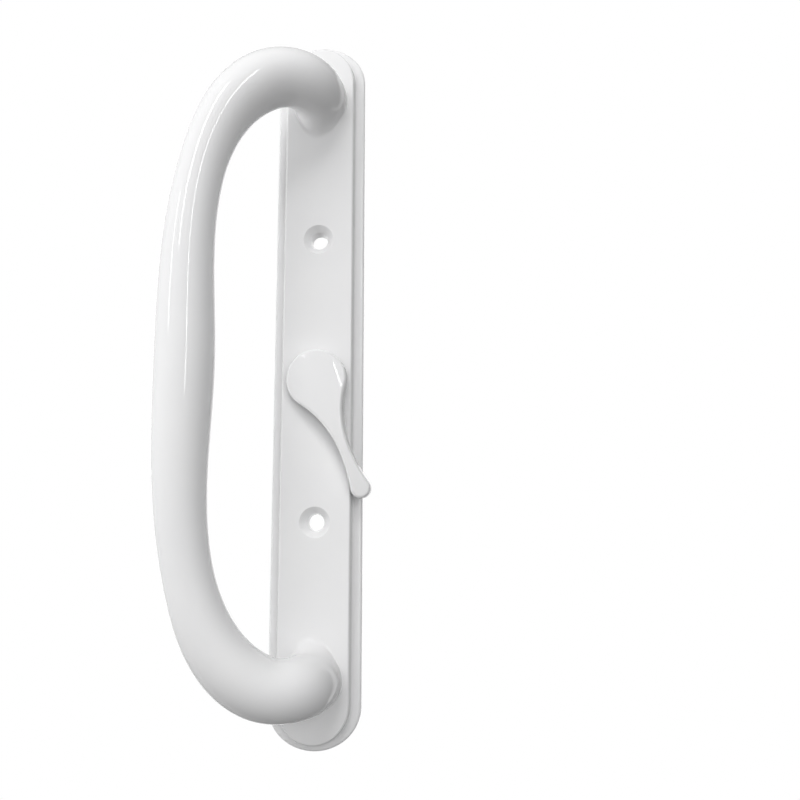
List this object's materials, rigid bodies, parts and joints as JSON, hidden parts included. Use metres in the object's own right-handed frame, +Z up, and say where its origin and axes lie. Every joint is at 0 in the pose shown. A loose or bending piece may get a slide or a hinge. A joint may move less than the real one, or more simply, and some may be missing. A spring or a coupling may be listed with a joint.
{
  "type": "sliding patio door handle",
  "caption": "Inside handle of a sliding patio door: slim escutcheon plate, round D-shaped pull leaning out to the left, and a teardrop thumb lever that turns the lock.",
  "frame": {"origin": "midway between the screw holes on the mounting face, on the thumb lever's turning axis", "axes": "+Z up the plate, +Y into the door and -Y towards the user, +X to the user's right"},
  "size_m": [0.067, 0.0833, 0.2508],
  "materials": {
    "white_paint": "gloss",
    "bush_plastic": "satin",
    "plated_steel": "zinc plated, satin"
  },
  "bodies": {
    "handle": {"handle_casting": "white_paint", "pivot_bush": "bush_plastic"},
    "lever": {"thumb_lever": "white_paint", "wave_washer": "plated_steel", "thrust_washer": "plated_steel", "retaining_ring": "plated_steel", "tailpiece": "plated_steel", "tailpiece_pin": "plated_steel"}
  },
  "joints": [
    {"name": "lever_turn", "type": "hinge", "parent": "handle", "child": "lever", "pos_m": [0, 0, 0], "axis": [0, -1, 0], "range_deg": [0, 90]}
  ]
}
